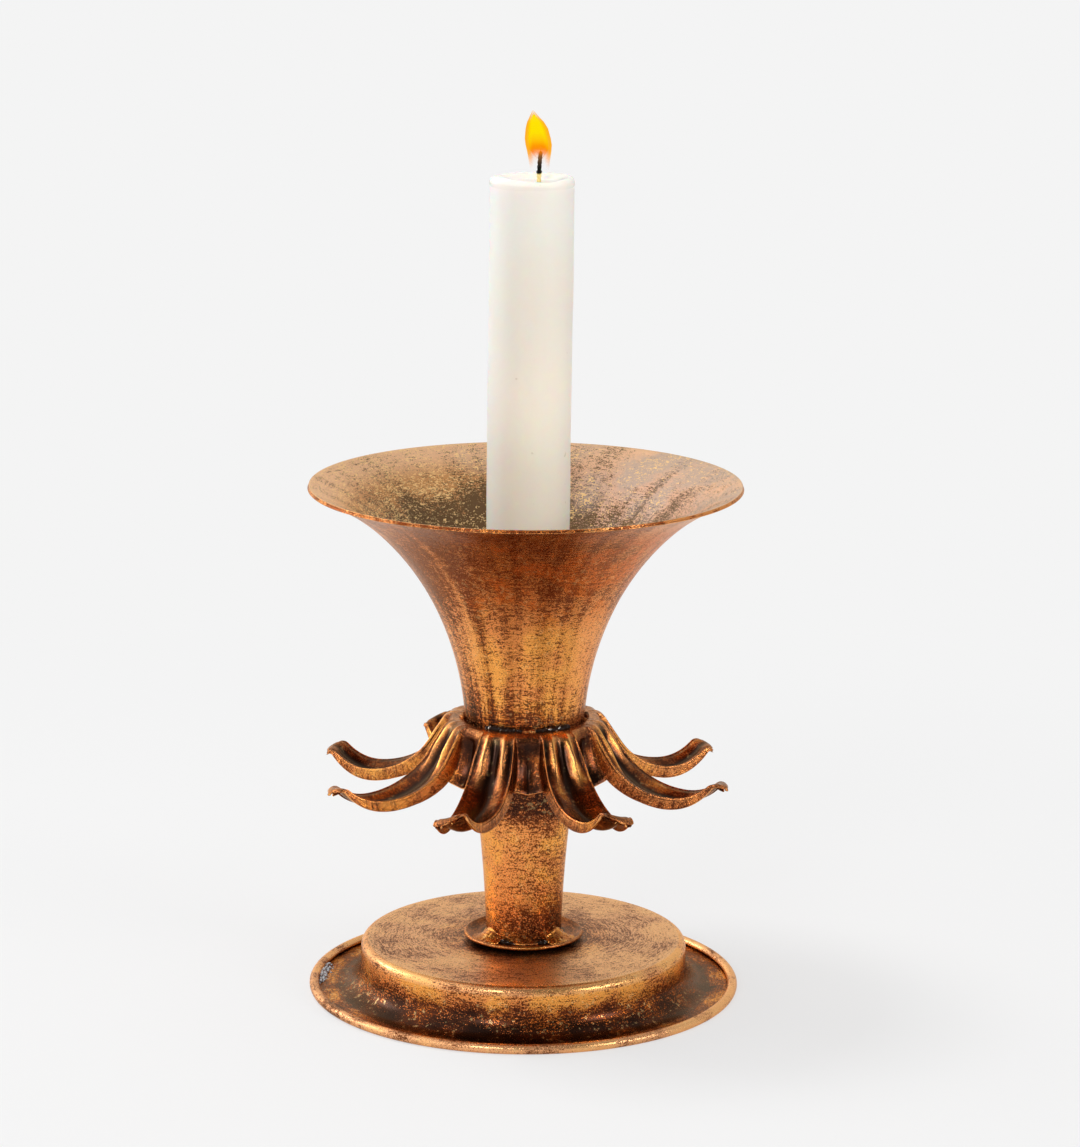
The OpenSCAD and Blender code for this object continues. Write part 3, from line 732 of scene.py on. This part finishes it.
def make_cup(size, finish):
    wall = Wall(size)
    start = follow(wall.low, [wall.up_to(size.sleeve_z)])[-1]
    lean_low, lean_mid, bend_low, bend_mid = 25.6, 47.2, 82, 72
    runs = [(90 - wall.throat_lean - start[2], wall.throat_bend),
            (wall.throat_lean - lean_low, bend_low), (lean_low - lean_mid, bend_mid)]
    mid = follow(start, runs)[-1]
    dr, dz = size.cup_r - mid[0], size.cup_z - mid[1]
    turn = 2 * (degrees(atan2(dr, dz)) - lean_mid)
    runs.append((-turn, hypot(dr, dz) / (2 * sin(radians(turn / 2)))))
    points = follow(start, runs, longest=1.3, widest=3)
    end, rows, segments = points[-1], [], 256
    lip, bulge = 1.2, 0.16

    def face(path, way, offset, rub, matte):
        """One face of the sheet, which swells to the lip over its last stretch."""
        for p in path:
            swell = bulge * max(0, 1 - (end[3] - p[3]) / lip)
            rows.append((*beside(p, offset + way * swell), p[3], 0, rub if p is end else 0, matte))
    face(points, 1, 0, 0.3, 0.26)
    for offset, proud, rub in ((0.1, 0.12, 0.3), (-0.08, 0.1, 0), (-0.35, -0.06, -0.9), (-0.62, 0.1, 0),
                               (-0.8, 0.12, 0.25)):
        r, z = beside(end, offset)
        rows.append((r + proud * cos(radians(end[2])), z + proud * sin(radians(end[2])), end[3], 0, rub, 0))
    face(reversed(points), -1, -size.sheet, 0.1, 0)
    mesh = turned("cup_metal", rows, segments)
    store(mesh, inside=np.tile([i < len(points) for i in range(len(rows))], segments))

    def cup_painted_light_and_shade(g, x, y, z, broad):
        """Painted shade at the throat's end by the collar, a dark painted reflection under the rim, brighter between;
        painted light right, shade left; painted shade deep inside.
        """
        inner = g.attribute("inside")
        middle = (x * x).between(0.0004, 0.0016, 1, 0.25)
        # Painted shade by the collar, painted light on the right and shade on the left, and a dark painted reflection
        # under the rim, strongest at front and back
        outer = (z.between(0.074, 0.088, -0.3, 0.02) + x.between(-0.02, 0.012, -0.14, 0.04)
                 - (z + (broad - 0.5) * 0.03).between(0.098, 0.116) * middle * 0.24)
        # Painted shade low inside the cup, most on the left
        deep = z.between(0.118, 0.136, -0.75, 0.06) * x.between(-0.02, 0.03, 1, 0.5)
        return outer * (1 - inner) + inner * deep

    def inside_tones_and_painted_reflections(g, x, y, z, along, deep, clean, spots, blotch, broad):
        """The inside is an olive tan, with duller grey patches on its right, bright flecks and painted light under the
        rim. Outside, painted reflections turn the upper flare orange and red-brown.
        """
        inner = g.attribute("inside")
        grey = ((x * 20 + (broad - 0.5) * 3).held() * (blotch - 0.4) * 6).held()
        gold = g.noise(g.join(x * 950, y * 950, along * 1200), 1, 2, 0.6, 1.4)
        # Painted glints: more bright flecks beside the candle on its left
        near = (x * x + y * y).between(0.0005, 0.0014, 0.05, 0) * x.between(-0.01, 0.01, 1, 0)
        gold = ((gold - 0.5) + (blotch - 0.5) * 0.35 - x * 0.6 + near).between(0.09, 0.13)
        deep_in = g.mix(grey * 0.9, linear(106, 80, 52), linear(150, 136, 130))
        clean_in = g.mix(x.between(-0.02, 0.03), linear(208, 150, 94), linear(226, 180, 150))
        # Painted light just under the rim inside
        clean_in = g.mix(z.between(0.131, 0.137) * 0.8, clean_in, linear(244, 198, 158))
        clean_in = g.mix(grey * 0.7, clean_in, linear(186, 168, 156))
        # Outside, orange patches right of centre and an orange, red-brown upper flare are painted reflections of the
        # copper below; the sides turn pinker
        high = z.between(0.1, 0.116)
        painted_orange_glow = (high * z.between(0.128, 0.135, 1, 0) * (blotch + x * 4).between(0.5, 0.62) * 0.7).held()
        clean = g.mix((x * x).between(0.00005, 0.0003) * 0.7, clean, linear(240, 160, 106))
        clean = g.mix(z.between(0.1, 0.12) * 0.5, clean, linear(214, 138, 70))
        clean = g.mix(painted_orange_glow, clean, linear(222, 104, 30))
        deep = g.mix((painted_orange_glow + high * 0.6).held(), deep, linear(150, 68, 22))
        return (g.mix(inner, deep, deep_in), g.mix(inner, clean, clean_in),
                spots * (1 - inner) + gold * inner * 0.9, inner * 0.3)
    metal = aged_copper("cup_copper", finish, tone=0.68, rough=-0.04, brush=0.36, grit=0.5, soft=0.14, cloud=0.07,
                        patch=0.18, flecks=0.2, streaks_and_reflections=0.32, bumpy=0.9, extra=cup_painted_light_and_shade, lining=inside_tones_and_painted_reflections)
    piece("cup_metal", mesh, metal, "flared_cup")


# Collar

def petal_sector(size):
    """One petal and its half webs as a one-sided sheet, centred on +X."""
    slope, shoulder_bend, sweep_bend, low_z = 56, 3.6, 20.5, 57.8
    half_mid, half_top, half_tip = 5.1, 3.4, 3.1
    side_depth, trough, web_extra, grow_len, fade_from, widest_at = 3.9, 2, 1.7, 13, 28.5, 19.5
    fine = 4  # points on a curve between two points of the section
    drop = size.ring_z - shoulder_bend * (1 - cos(radians(slope)))
    slope_end = low_z + sweep_bend * (1 - cos(radians(slope)))
    ring = size.ring_r - size.ring_hole_r
    rows = follow((size.ring_hole_r, size.ring_z, 0), [
        (0, ring), (-slope, shoulder_bend), (0, (drop - slope_end) / sin(radians(slope))),
        (slope / 6, sweep_bend), (slope * 5 / 6, sweep_bend), (45, 12), (-110, 2.5)], longest=0.85, widest=10)
    web_end = max(i for i, p in enumerate(rows) if p[4] <= 3)
    whole = rows[-1][3] - ring
    sector = pi / size.petals
    mirrored = np.array([-1, 1, 1, 1])
    points, values, faces, index = [], [], [], {}
    for i, (r0, z0, heading, distance, run, part) in enumerate(rows):
        gone = max(0, distance - ring)
        fade = (1 - cos(pi * max(0, gone - fade_from) / (whole - fade_from))) / 2
        side_fade, top_fade = 1 - 0.7 * fade, 1 - 0.4 * fade
        if gone < widest_at:
            half = half_top + (half_mid - half_top) * sin(pi / 2 * gone / widest_at)
        else:
            half = half_tip + (half_mid - half_tip) * (1 + cos(pi * (gone - widest_at) / (whole - widest_at))) / 2
        grow = sin(pi / 2 * min(1, gone / grow_len))
        web_lift = -(side_depth + web_extra) * grow
        h = radians(heading)
        web = (sector * (r0 - web_lift * sin(h)), web_lift)
        foot = (half + 1.35, -side_depth * grow * side_fade * (1 - 0.2 * held((gone - 16) / 8)))
        start = min(1, gone / 3.5)
        grow *= start * start * (3 - 2 * start) * 0.5 + 0.5 * start
        free, end = held((gone - 9) / 8), held((gone - whole + 5.5) / 5.5)
        hood = end * end * (3 - 2 * end)
        bed = trough * grow * side_fade * (1 - hood)
        # across, lift, rub and tone of the section, from the middle of the web to the middle of the trough
        section = np.array([
            (*web, 0, -0.32), ((web[0] + foot[0]) / 2, (web[1] + foot[1]) / 2, 0, -0.22),
            (*foot, 0, -0.14 + 0.06 * free), (half + 1.15, -1.9 * grow * side_fade, 0, 0),
            (half + 0.95, -0.15 * grow * top_fade, 0.1, 0.02),
            (half + 0.45, -(0.85 - 0.45 * free) * grow * top_fade, 0, -0.3 + 0.1 * free),
            (half * 0.86, -0.55 * grow * (1 - free) - bed * 0.3 * free, 0, -0.12),
            (half * 0.62, 0.1 * (1 - free) - bed * 0.55 * free, 0.3 - 0.3 * free, 0.06 - 0.18 * free),
            (half * 0.38, -bed * (0.4 + 0.4 * free), 0.05 - 0.05 * free, -0.1 - 0.1 * free),
            (half * 0.18, -bed * (0.85 + 0.1 * free), 0, -0.38),
            (0, -bed, 0, -0.42)])
        section[4:, 1] -= hood * 0.9 * (section[4:, 0] / half_mid) ** 2
        if i > web_end:
            section[:, 0] *= sqrt(1 - (0.93 * end ** 2.6) ** 2)
        beyond = section[1].copy()
        beyond[0] = 2 * web[0] - beyond[0]
        line = np.vstack([beyond, section, section[-2::-1] * mirrored, beyond * mirrored])
        if i > web_end:
            line[2] = 2 * line[3] - line[4]
            line[-3] = 2 * line[-4] - line[-5]
        curve = []
        for a, b, c, d in zip(line, line[1:], line[2:], line[3:]):
            for t in np.arange(fine) / fine:
                bent = 0.5 * (2 * b + (c - a) * t + (2 * a - 5 * b + 4 * c - d) * t * t
                              + (3 * b - a - 3 * c + d) * t ** 3)
                curve.append((b + (c - b) * t) * 0.35 + bent * 0.65)
        curve.append(line[-2])
        last = len(curve) - 1
        inset = 0 if i <= web_end else 2 * fine
        tip = max(0, (gone - whole + 6) / 6)
        flat = 1 - min(1, gone / 4)
        shoulder = 0.15 * max(0, 1 - abs(gone - 2.2) / 2.4)
        for j in range(inset, last + 1 - inset):
            across, lift, rub, tone = curve[j]
            r = r0 - lift * sin(h)
            way = sector * copysign(1, across) if j in (0, last) else across / r
            index[i, j] = len(points)
            points.append((r * cos(way), r * sin(way), z0 + lift * cos(h)))
            flank = held((abs(across) - half) / 0.8)
            values.append((distance, tone * (1 - flat) * (1 - tip) - 0.04 * flat - 0.05 * tip,
                           max(0, rub) * (1 - flat) * (1 - 0.4 * tip) + shoulder * (abs(across) < half + 0.6)
                           + 0.05 * tip, 0.02 * flat, min(1, gone / whole),
                           0.65 * (1 - 0.5 * flank * free) * (1 - 0.4 * tip)))
    for i, j in index:
        corners = [(i, j), (i + 1, j), (i + 1, j + 1), (i, j + 1)]
        if all(corner in index for corner in corners):
            faces.append([index[corner] for corner in corners])
    mesh = bpy.data.meshes.new("petal_sector")
    mesh.from_pydata((np.array(points) * MM).tolist(), [], faces)
    mesh.update()
    if mesh.polygons[0].normal.z < 0:
        mesh.flip_normals()
    along, tone, rub, matte, loose, calm = np.array(values).T
    store(mesh, along=along * MM, tone=tone, rub=rub, matte=matte, loose=loose, calm=calm)
    return mesh


def make_collar(size, finish):
    metal = aged_copper("collar_copper", finish, rough=-0.1, brush=0.04, grit=0.5, soft=0.26, cloud=0.05,
                        patch=0.24, patch_scale=150, flecks=0.12, bumpy=0.5,
                        calm=lambda g, x, y: g.attribute("calm"))
    sheet = grown("collar_sheet", petal_sector(size), ring_tree(), Count=size.petals,
                  Turn=radians(size.collar_turn), Bend=size.hand_bend * MM, Lean=size.tip_lean, Seed=5,
                  Material=metal)
    mesh = thickened("leaf_collar", sheet, size.sheet * MM)
    bpy.data.meshes.remove(sheet)
    piece("leaf_collar", mesh, metal, "petal_collar")

    throat_r = size.ring_hole_r - 0.35
    balls = [(way + 2.2 * i, throat_r, size.ring_z - 0.05, 0.95 - 0.12 * abs(i))
             for way in (-86, 6, 96, 184) for i in range(-2, 3)]
    tack = aged_copper("tack_copper", finish, tone=0.4, rough=-0.1, brush=0, grit=0.15, soft=0.3)
    melted("collar_welds", balls, tack, "collar_tacks", slot="aged_copper", shift=0.06, seed=8)
    # Two streaks of flux beside the front tack, thin at their outer ends
    balls = [(start + (end - start) * part, throat_r - 0.1, size.ring_z + 0.15,
              0.6 + 0.45 * sin(pi * min(1, 0.15 + abs(part - outer))) ** 0.5)
             for start, end, outer in ((-126, -93, 0), (-79, -47, 1)) for part in np.linspace(0, 1, 26)]
    melted("collar_flux", balls, black_flux("collar_flux"), shift=0.08, seed=2)


# Candle

def stand(mesh, size):
    """Leans a mesh made upright on the seat the way the candle leans."""
    mesh.transform(Matrix.Translation((0, 0, size.seat_z * MM)) @ Matrix.Rotation(radians(size.candle_lean), 4, "Y"))
    return mesh


def make_candle(size, finish):
    tall = size.candle_z - size.seat_z
    r, edge, pool_r, pool_d = size.candle_r, 1.6, 7.5, 1.6
    rows = [(0, 0.1), (4, 0.1), (8, 0.1), (r - 0.5, 0.1), (r - 0.15, 0.25), (r, 0.6)]
    rows += [(r, 0.6 + (tall - edge - 0.6) * i / 60) for i in range(1, 61)]
    rows += [(r - edge * (1 - cos(radians(a))), tall - edge * (1 - sin(radians(a)))) for a in range(9, 91, 9)]
    rows += [((r - edge) * (1 - t), tall - pool_d * (0.5 - 0.5 * cos(pi * min(1, (r - edge) * t / 4.6))))
             for t in np.linspace(0, 1, 13)[1:]]

    def melt(radius, height, way):
        """The rim has melted a little unevenly, and the side isn't quite straight."""
        near = np.clip((height - tall + 5) / 5, 0, 1) ** 2 * np.clip(radius / pool_r, 0, 1)
        uneven = 0.22 * np.sin(2 * way + 0.6) + 0.12 * np.sin(3 * way + 2.1) + 0.06 * np.sin(7 * way)
        side = 0.05 * np.sin(height * 0.09 + 1) * np.cos(way - 0.4) + 0.03 * np.sin(height * 0.23 + way * 2)
        return radius + side * (radius > r - 0.3), height + near * (uneven - 0.2)
    mesh = turned("candle_wax", [(*row, 0, 0, 0, 0) for row in rows], segments=128, shape=melt)
    wax, g, feed = new_material("candle_wax", Subsurface_Weight=0.6, Subsurface_Scale=0.008, Specular_IOR_Level=0.35)
    place = g.place()
    x, y, z = g.split(place)
    cloud = g.noise(place, 60, 3)
    streak = g.noise(g.join(x * 220, y * 220, z * 18), 1)
    speck = g.noise(place, 420, 1).between(0.76, 0.8)
    # Painted light: lighter near the flame and on the left side, spread unevenly by clouds and streaks
    light = (z.between(0.19, 0.218) * 0.7 + (0 - x).between(0, 0.011) * 0.75 + (cloud - 0.5) * 0.4
             + (streak - 0.5) * 0.3).held()
    # Painted shade: dimmer high on the side
    tint = g.mix(z.between(0.15, 0.188), finish.wax, finish.wax_dim)
    tint = g.mix(light, tint, finish.wax_light)
    feed(Base_Color=g.mix(speck * 0.35, tint, linear(190, 175, 150)),
         Roughness=(0.5 - z.between(0.214, 0.2185) * 0.28 + (cloud - 0.5) * 0.2).held(),
         Normal=g.bump(cloud * 2 + streak * 0.5, 0.00012))
    piece("candle_wax", stand(mesh, size), wax, "candle", body="candle", slot="wax")

    make_wick(size, tall - pool_d)
    make_flame()


def make_wick(size, foot_z):
    """A braided wick: soaked in wax at the foot, charred above."""
    bend, offset, steps = 80, 1.7, 44
    rings = []
    for part in np.linspace(0, 1, steps + 1):
        rise = size.wick_l * part
        x, z = offset + bend * (1 - cos(rise / bend)), foot_z + bend * sin(rise / bend)
        r = 0.52 + 0.05 * sin(rise * 5.2) + 0.16 * exp(-((rise - 2.5) / 0.35) ** 2)
        r *= min(1, (1 - part) * 9 + 0.25)
        ring = []
        for a in np.linspace(0, 2 * pi, 20, endpoint=False):
            braid = r * (1 + 0.12 * sin(3 * a + rise * 4.5) + 0.08 * sin(3 * a - rise * 4.5))
            ring.append((x + braid * cos(a), braid * sin(a), z))
        rings.append(ring)
    char, g, feed = new_material("charred_cotton", Specular_IOR_Level=0.2, Emission_Strength=1)
    x, y, z = g.split(g.place())
    fibre = g.noise(g.place(), 2500)
    soaked = (z + (fibre - 0.5) * 0.0006).between(0.2197, 0.2203, 1, 0)
    feed(Base_Color=g.mix(soaked, (0.004, 0.003, 0.003), linear(250, 226, 150)),
         Roughness=(0.9 - soaked * 0.5).held(), Normal=g.bump(fibre, 0.0001),
         Emission_Color=g.mix(z.between(0.2249, 0.2261), (0, 0, 0), linear(170, 40, 8)))
    mesh = stand(tube("candle_wick", rings), size)
    piece("candle_wick", mesh, char, "wick", body="candle", slot="wick_cotton")


# Height, middle to the right of the pan's axis, and half width of the flame
FLAME = ((220.6, 3.1, 2.35), (222, 3.1, 2.6), (223.7, 3.05, 2.8), (225.9, 3, 3.15), (227.5, 2.85, 3.4),
         (229.2, 2.6, 3.36), (231.7, 2.35, 2.92), (233.4, 2.02, 2.2), (235, 1.6, 1.05), (236.4, 1.35, 0.12))


def make_flame():
    """Nested skins. Their sides are denser than their fronts, so that the wick shows through the lower half."""
    heights, middles, halves = np.array(FLAME).T
    pink, orange, amber, yellow, gold, pale = (linear(*c) for c in (
        (253, 222, 205), (255, 128, 0), (255, 176, 10), (255, 242, 0), (255, 205, 6), (255, 190, 90)))
    # Name, share of the width, foot and tip as shares of the height, colours from foot to tip, and how the front and
    # the sides thicken: from which height, to which height, and how dense they get
    skins = (
        ("flame_veil", 1, 0, 1, [(0, pink), (0.3, amber), (0.8, amber), (1, pale)],
         (0.06, 0.3, 0.12), (0, 0.42, 0.88)),
        ("flame_skin", 0.9, 0.02, 0.965, [(0, pink), (0.34, orange), (0.5, gold), (0.86, gold), (1, amber)],
         (0.16, 0.38, 0.3), (0.03, 0.4, 0.6)),
        ("flame_core", 0.76, 0.2, 0.93, [(0, orange), (0.44, orange), (0.56, gold), (0.66, yellow), (1, yellow)],
         (0.24, 0.42, 0.94), (0.2, 0.38, 0.9)))
    sides, steps = 40, 48
    around = np.linspace(0, 2 * pi, sides, endpoint=False)
    for name, shrink, low, high, stops, front, flank in skins:
        flats, rings = np.linspace(low, high, steps + 1), []
        for i, flat in enumerate(flats):
            z = heights[0] + (heights[-1] - heights[0]) * flat
            middle, half = np.interp(z, heights, middles), np.interp(z, heights, halves) * shrink
            if shrink < 1:
                half *= min(1, 0.15 + (steps - i) / 8) ** 0.6
            if low > 0.1:
                half *= min(1, 0.05 + i / 12) ** 0.5
            rings.append([(middle + half * cos(a), half * sin(a), z) for a in around])
        mesh = tube(name, rings)
        store(mesh, rise=np.repeat(flats, sides), flank=np.tile(np.abs(np.cos(around)), steps + 1))
        flame, g, feed = new_material(name, Specular_IOR_Level=0, Emission_Strength=1, Roughness=1,
                                      Base_Color=(0, 0, 0, 1))
        rise, side = g.attribute("rise"), g.attribute("flank").between(0.45, 1)
        ahead = rise.between(front[0], front[1], 0, front[2])
        aside = rise.between(flank[0], flank[1], 0, flank[2])
        hot = g.node("ShaderNodeValToRGB", {0: rise + side * 0.1 * (shrink < 0.8)}, stops=stops)
        feed(Emission_Color=hot, Alpha=(ahead * (1 - side) + aside * side).held())
        piece(name, mesh, flame, body="candle", slot="wax")


# Stage

def soft_light(name, place, target, size, watts, mirrored=True):
    lamp = bpy.data.lights.new(name, "AREA")
    lamp.shape, lamp.size, lamp.energy = "SQUARE", size, watts
    made = add_object(name, lamp)
    made.location = place
    made.visible_glossy = mirrored
    made.rotation_mode = "QUATERNION"
    made.rotation_quaternion = (Vector(target) - Vector(place)).to_track_quat("-Z", "Y")


def ray_kinds(g):
    path = g.outputs("ShaderNodeLightPath")
    return [path[f"Is {word} Ray"] for word in ("Camera", "Glossy", "Transmission")]


def make_floor(pale):
    reach = 6
    mesh = bpy.data.meshes.new("floor")
    mesh.from_pydata([(-reach, -reach, 0), (reach, -reach, 0), (reach, reach, 0), (-reach, reach, 0)], [],
                     [(0, 1, 2, 3)])
    material = bpy.data.materials.new("pale_floor")
    material.use_nodes = True
    material.node_tree.nodes.clear()
    g = Graph(material.node_tree)
    camera, glossy, through = ray_kinds(g)
    x, y, z = g.split(g.place())
    far = (x * x + y * y).math("SQRT").between(0.1, 0.42, 0.66, 1)
    glow = (camera * far + (glossy + through) * 0.3).held()
    matte = g.node("ShaderNodeBsdfDiffuse", {"Color": (0.79, 0.79, 0.79, 1)})
    light = g.node("ShaderNodeEmission", {"Color": pale, "Strength": 1})
    g.node("ShaderNodeOutputMaterial", {0: g.shader(glow, matte, light)})
    mesh.materials.append(material)
    add_object("floor", mesh)


def make_world(pale):
    """Soft light all round. What metal mirrors is brighter on the left and dimmer in front and above."""
    world = bpy.data.worlds.new("studio")
    bpy.context.scene.world = world
    world.use_nodes = True
    world.node_tree.nodes.clear()
    g = Graph(world.node_tree)
    camera, glossy, through = ray_kinds(g)
    x, y, z = g.split(g.node("ShaderNodeTexCoord", output="Generated"))
    front, top, left = (0 - y).between(-0.2, 0.8), z.between(0.25, 0.9), x.between(-0.9, 0.1, 1, 0)
    mirrored = 0.55 - front * 0.38 - top * 0.15 + left * 0.53 - x.between(0.3, 0.9) * 0.12
    seen = (camera + through).held()
    none, soft, plain, strong = (g.node("ShaderNodeBackground", {"Color": pale, "Strength": level})
                                 for level in (0, 0.66, 1, 1.7))
    look = g.shader((glossy * (1 - seen)).held(), g.shader(seen, soft, plain), g.shader(mirrored.held(), none, strong))
    g.node("ShaderNodeOutputWorld", {0: look})


def make_stage(finish):
    scene = bpy.context.scene
    pale = (*finish.floor, 1)
    make_floor(pale)
    make_world(pale)
    soft_light("key_light", (-0.42, 0.16, 1.3), (0, 0, 0.08), 0.35, 7.2, mirrored=False)
    soft_light("front_light", (-0.5, -1.15, 0.75), (0, 0, 0.08), 0.32, 3.6)
    soft_light("side_light", (-1.15, 0.48, 0.52), (0, 0, 0.04), 0.4, 3)
    soft_light("fill_light", (1.05, -0.7, 0.5), (0, 0, 0.1), 0.4, 4.4)

    lens = bpy.data.cameras.new("photo_camera")
    camera = add_object("photo_camera", lens)
    frame_wide, frame_long, focal_px, middle_px = 1080, 1147, 4184, 525.4
    away, above, tilt, roll = 1.0776, 0.3622, radians(12.975), radians(0.3)
    lens.sensor_width = 36
    lens.lens = focal_px / frame_long * lens.sensor_width
    lens.shift_x = (frame_wide / 2 - middle_px) / frame_long
    lens.clip_start, lens.clip_end = 0.05, 50
    camera.matrix_world = (Matrix.Translation((0, -away, above)) @ Matrix.Rotation(pi / 2 - tilt, 4, "X")
                           @ Matrix.Rotation(roll, 4, "Z"))
    scene.camera = camera
    scene.view_settings.view_transform = "Standard"


# Operators and panel

class HOLDER_OT_pan(bpy.types.Operator):
    """Make the spun pan and its patch of solder"""
    bl_idname = "candle_holder.pan"
    bl_label = "Pan"

    def execute(self, context):
        make_pan(*settings(context))
        return {"FINISHED"}


class HOLDER_OT_foot(bpy.types.Operator):
    """Make the dished washer and its welds, and finish the fastening"""
    bl_idname = "candle_holder.foot"
    bl_label = "Foot"

    def execute(self, context):
        make_foot(*settings(context))
        return {"FINISHED"}


class HOLDER_OT_stem(bpy.types.Operator):
    """Make the tapered stem and finish its seat"""
    bl_idname = "candle_holder.stem"
    bl_label = "Stem"

    def execute(self, context):
        make_stem(*settings(context))
        return {"FINISHED"}


class HOLDER_OT_cup(bpy.types.Operator):
    """Make the trumpet cup"""
    bl_idname = "candle_holder.cup"
    bl_label = "Cup"

    def execute(self, context):
        make_cup(*settings(context))
        return {"FINISHED"}


class HOLDER_OT_collar(bpy.types.Operator):
    """Make the stamped collar of petals and its tacks of weld"""
    bl_idname = "candle_holder.collar"
    bl_label = "Petal collar"

    def execute(self, context):
        make_collar(*settings(context))
        return {"FINISHED"}


class HOLDER_OT_candle(bpy.types.Operator):
    """Make the candle, its wick and its flame"""
    bl_idname = "candle_holder.candle"
    bl_label = "Candle"

    def execute(self, context):
        make_candle(*settings(context))
        return {"FINISHED"}


class HOLDER_OT_stage(bpy.types.Operator):
    """Make the floor, the studio light and the camera"""
    bl_idname = "candle_holder.stage"
    bl_label = "Stage"

    def execute(self, context):
        make_stage(context.scene.holder_finish)
        return {"FINISHED"}


OPERATORS = (HOLDER_OT_pan, HOLDER_OT_foot, HOLDER_OT_stem, HOLDER_OT_cup, HOLDER_OT_collar, HOLDER_OT_candle,
             HOLDER_OT_stage)


class HOLDER_PT_panel(bpy.types.Panel):
    """Lists the sizes, the finishes and the pieces"""
    bl_label = "Candle holder"
    bl_idname = "HOLDER_PT_panel"
    bl_space_type = "VIEW_3D"
    bl_region_type = "UI"
    bl_category = "Candle holder"

    def draw(self, context):
        for group in (context.scene.holder_sizes, context.scene.holder_finish):
            column = self.layout.column()
            for prop in own_props(group):
                column.prop(group, prop.identifier)
        for operator in OPERATORS:
            self.layout.operator(operator.bl_idname)


CLASSES = (HolderSizes, HolderFinish, *OPERATORS, HOLDER_PT_panel)


def register():
    for cls in CLASSES:
        bpy.utils.register_class(cls)
    bpy.types.Scene.holder_sizes = bpy.props.PointerProperty(type=HolderSizes)
    bpy.types.Scene.holder_finish = bpy.props.PointerProperty(type=HolderFinish)


def unregister():
    del bpy.types.Scene.holder_finish
    del bpy.types.Scene.holder_sizes
    for cls in reversed(CLASSES):
        bpy.utils.unregister_class(cls)


def main():
    register()
    bpy.ops.candle_holder.pan()
    bpy.ops.candle_holder.foot()
    bpy.ops.candle_holder.stem()
    bpy.ops.candle_holder.cup()
    bpy.ops.candle_holder.collar()
    bpy.ops.candle_holder.candle()
    bpy.ops.candle_holder.stage()


if __name__ == "__main__":
    main()
